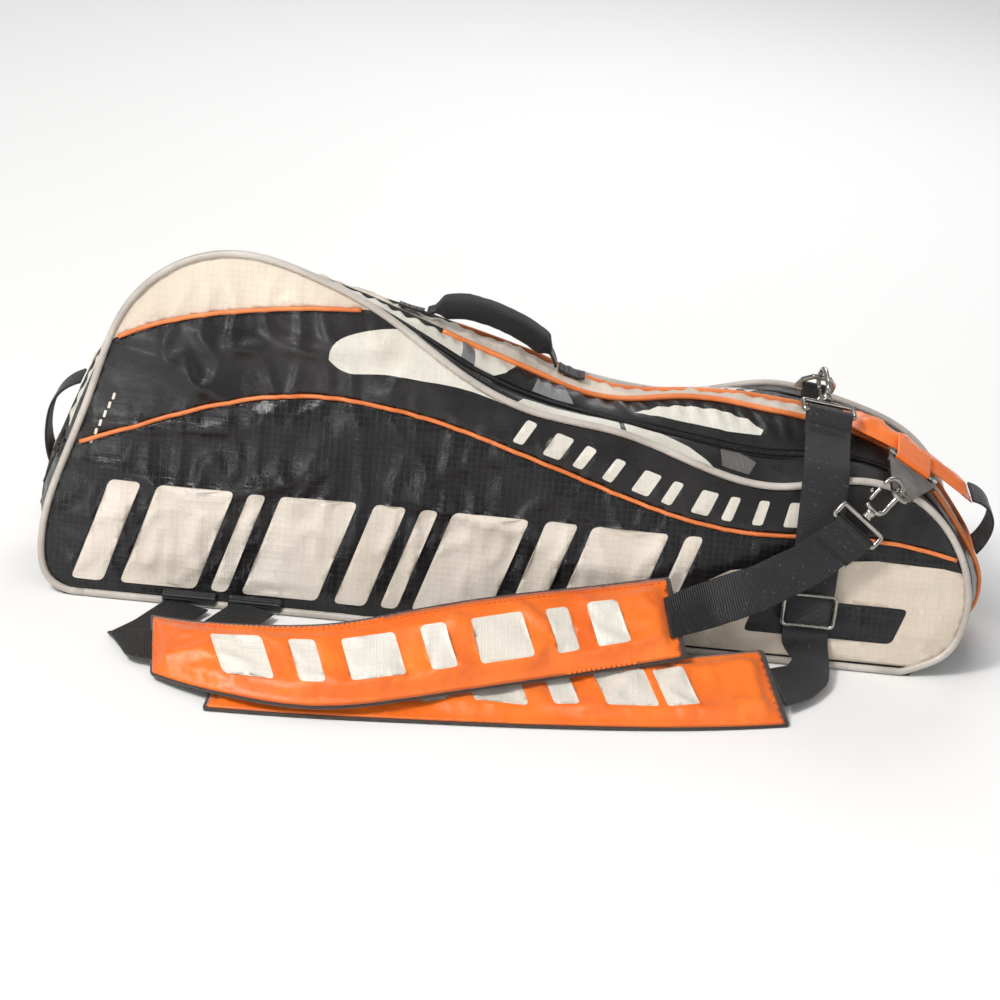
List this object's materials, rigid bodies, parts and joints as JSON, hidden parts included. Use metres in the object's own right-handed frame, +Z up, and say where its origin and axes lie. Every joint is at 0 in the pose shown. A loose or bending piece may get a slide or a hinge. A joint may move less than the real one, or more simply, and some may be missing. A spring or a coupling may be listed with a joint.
{
  "type": "racket tournament bag",
  "caption": "Zipped racket bag with two compartments, a carry handle, a grip loop at its narrow end and padded shoulder straps on snap hooks.",
  "frame": {"origin": "middle of the flat bottom gusset, on the floor", "axes": "+X along the bag from the wide racket-head end to the narrow grip end, +Z up, straps in front at -Y"},
  "size_m": [0.7999, 0.3794, 0.294],
  "materials": {
    "ripstop_black": "coated ripstop, satin",
    "nylon_charcoal": "glossy wrinkled nylon",
    "ripstop_cream": "coated ripstop, satin",
    "vinyl_pale": "smooth vinyl piping",
    "cord_orange": "satin piping",
    "gusset_print": "printed nylon, satin",
    "zip_black": "woven tape and coil",
    "webbing_black": "ribbed woven webbing",
    "pad_orange": "satin nylon over foam",
    "mesh_black": "spacer mesh",
    "handle_black": "brushed fabric over foam",
    "lining_black": "matte lining",
    "board_black": "stiff board",
    "metal_gunmetal": "dark nickel, polished",
    "slider_metal": "black enamel",
    "adjuster_dark": "moulded, satin"
  },
  "bodies": {
    "bag": {"base_panel": "lining_black", "base_boards": "board_black", "front_panel_lower": "ripstop_black", "front_panel_band": "nylon_charcoal", "front_panel_upper": "ripstop_cream", "front_seam_piping_lower": "cord_orange", "front_seam_piping_upper": "cord_orange", "front_edge_piping": "vinyl_pale", "front_gusset_outer": "gusset_print", "front_gusset_inner": "gusset_print", "front_zip_tape": "zip_black", "front_zip_coil": "zip_black", "spine_panel": "ripstop_cream", "spine_piping_front": "cord_orange", "spine_piping_rear": "cord_orange", "center_divider": "lining_black", "rear_gusset_inner": "gusset_print", "rear_zip_tape_fixed": "zip_black", "handle_anchor_tabs": "webbing_black", "d_ring_tab": "webbing_black", "end_haul_loop": "webbing_black", "end_grip_pad": "pad_orange", "end_grip_webbing": "webbing_black", "strap_anchor_tabs": "webbing_black", "strap_a_webbing_right": "webbing_black", "strap_a_pad": "pad_orange", "strap_a_pad_lining": "mesh_black", "strap_a_webbing_left": "webbing_black", "strap_b_webbing_upper": "webbing_black", "strap_b_webbing_lower": "webbing_black", "strap_b_pad": "pad_orange", "strap_b_pad_lining": "mesh_black", "strap_b_webbing_left": "webbing_black", "hook_a_eye": "metal_gunmetal", "hook_b_eye": "metal_gunmetal"},
    "rear_cover": {"rear_panel_lower": "ripstop_black", "rear_panel_band": "nylon_charcoal", "rear_panel_upper": "ripstop_cream", "rear_edge_piping": "vinyl_pale", "rear_seam_pipings": "cord_orange", "rear_gusset_outer": "gusset_print", "rear_zip_tape_cover": "zip_black"},
    "handle": {"handle_grip": "handle_black", "handle_webbing": "webbing_black"},
    "front_slider": {"front_zip_slider": "slider_metal"},
    "front_pull": {"front_zip_pull": "slider_metal"},
    "rear_slider": {"rear_zip_slider": "slider_metal"},
    "rear_pull": {"rear_zip_pull": "slider_metal"},
    "tri_ring": {"tri_ring_plate": "metal_gunmetal", "tri_ring_rod": "metal_gunmetal"},
    "ring_d": {"d_ring": "metal_gunmetal"},
    "hook_a": {"hook_a_body": "metal_gunmetal"},
    "gate_a": {"hook_a_gate": "metal_gunmetal"},
    "hook_b": {"hook_b_body": "metal_gunmetal"},
    "gate_b": {"hook_b_gate": "metal_gunmetal"},
    "adjuster": {"adjuster_frame": "adjuster_dark", "adjuster_bar": "adjuster_dark"}
  },
  "joints": [
    {"name": "rear_cover_open", "type": "hinge", "parent": "bag", "child": "rear_cover", "pos_m": [0, 0.105, 0.0015], "axis": [-1, 0, 0], "range_deg": [0, 75]},
    {"name": "handle_swing", "type": "hinge", "parent": "bag", "child": "handle", "pos_m": [-0.066, 0.002, 0.237], "axis": [0.9521, 0, -0.3057], "range_deg": [-30, 30]},
    {"name": "front_zip_slide", "type": "slide", "parent": "bag", "child": "front_slider", "axis": [0.3233, 0.1224, 0.9383], "range_m": [0, 0.045]},
    {"name": "front_pull_flip", "type": "hinge", "parent": "front_slider", "child": "front_pull", "pos_m": [-0.35578, -0.06286, 0.11415], "axis": [-0.0399, 0.9925, -0.1157], "range_deg": [0, 150]},
    {"name": "rear_zip_slide", "type": "slide", "parent": "rear_cover", "child": "rear_slider", "axis": [0.3728, -0.1157, 0.9207], "range_m": [0, 0.045]},
    {"name": "rear_pull_flip", "type": "hinge", "parent": "rear_slider", "child": "rear_pull", "pos_m": [-0.35589, 0.06472, 0.10976], "axis": [0.0434, 0.9933, 0.1072], "range_deg": [0, 150]},
    {"name": "tri_ring_swing", "type": "hinge", "parent": "bag", "child": "tri_ring", "pos_m": [0.34, -0.047, 0.1625], "axis": [0.8593, 0, -0.5115], "range_deg": [-2, 0.5]},
    {"name": "d_ring_swing", "type": "hinge", "parent": "bag", "child": "ring_d", "pos_m": [0.25948, 0.01848, 0.19633], "axis": [0.9747, 0.1471, -0.1682], "range_deg": [-6, 6]},
    {"name": "hook_a_swivel", "type": "hinge", "parent": "bag", "child": "hook_a", "pos_m": [0.299, -0.104, 0.136], "axis": [0.6, 0.25, 0.76], "range_deg": [-20, 20]},
    {"name": "hook_a_gate_open", "type": "hinge", "parent": "hook_a", "child": "gate_a", "pos_m": [0.3022, -0.10005, 0.15297], "axis": [-0.1549, 0.9682, -0.1962], "range_deg": [0, 24], "stiffness_Nm_per_rad": 0.02, "springref_deg": -11.46},
    {"name": "hook_b_swivel", "type": "hinge", "parent": "bag", "child": "hook_b", "pos_m": [0.267, -0.026, 0.201], "axis": [-0.1, 0.9604, 0.2601], "range_deg": [-20, 20]},
    {"name": "hook_b_gate_open", "type": "hinge", "parent": "hook_b", "child": "gate_b", "pos_m": [0.26382, -0.00893, 0.1975], "axis": [0.9747, 0.1471, -0.1682], "range_deg": [0, 24], "stiffness_Nm_per_rad": 0.02, "springref_deg": -11.46},
    {"name": "adjuster_slide", "type": "slide", "parent": "bag", "child": "adjuster", "axis": [0, 0, 1], "range_m": [-0.008, 0.01]}
  ]
}
